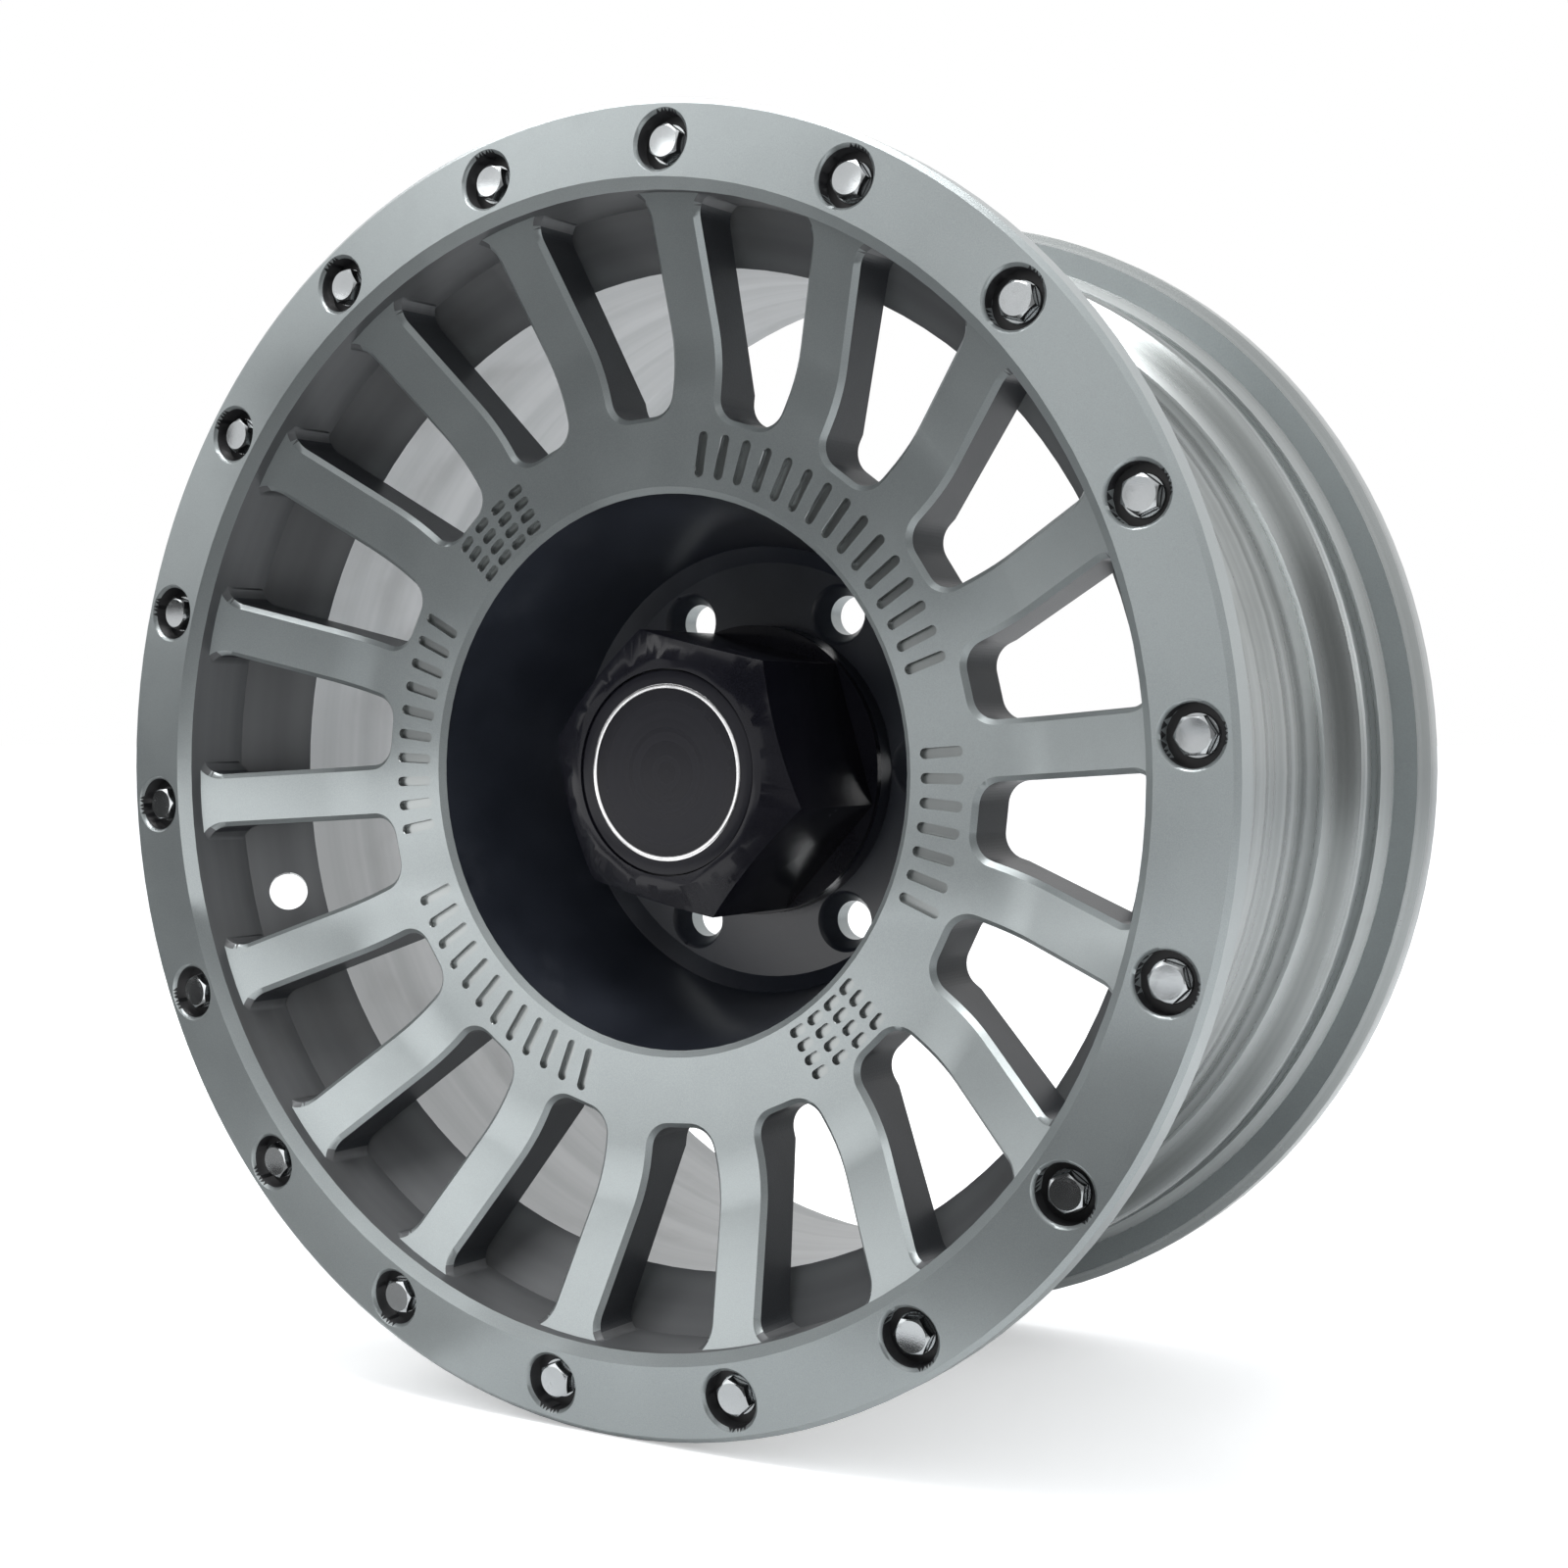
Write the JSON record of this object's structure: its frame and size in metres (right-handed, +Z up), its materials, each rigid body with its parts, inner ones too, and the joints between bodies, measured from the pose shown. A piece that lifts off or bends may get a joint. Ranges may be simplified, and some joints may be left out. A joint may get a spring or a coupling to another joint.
{
  "type": "car wheel",
  "caption": "Cast off-road car wheel with bolts round its lip ring, straight spokes, a deep hub bowl for the lug nuts and a tall hexagonal centre cap.",
  "frame": {"origin": "middle of the part's box, on the spin axis", "axes": "+Y along the spin axis towards the vehicle, so the street side looks along -Y; +Z up"},
  "size_m": [0.4839, 0.233, 0.484],
  "materials": {
    "alloy": "satin silver-grey paint, hub bowl black",
    "bolt": "bright plated",
    "cap": "gloss black",
    "emblem": "satin black, plain",
    "spring": "bright spring steel"
  },
  "bodies": {
    "root": {"wheel": "alloy", "lip_bolts": "bolt", "center_cap": "cap", "cap_emblem_disc": "emblem", "cap_spring_ring": "spring"}
  },
  "joints": []
}
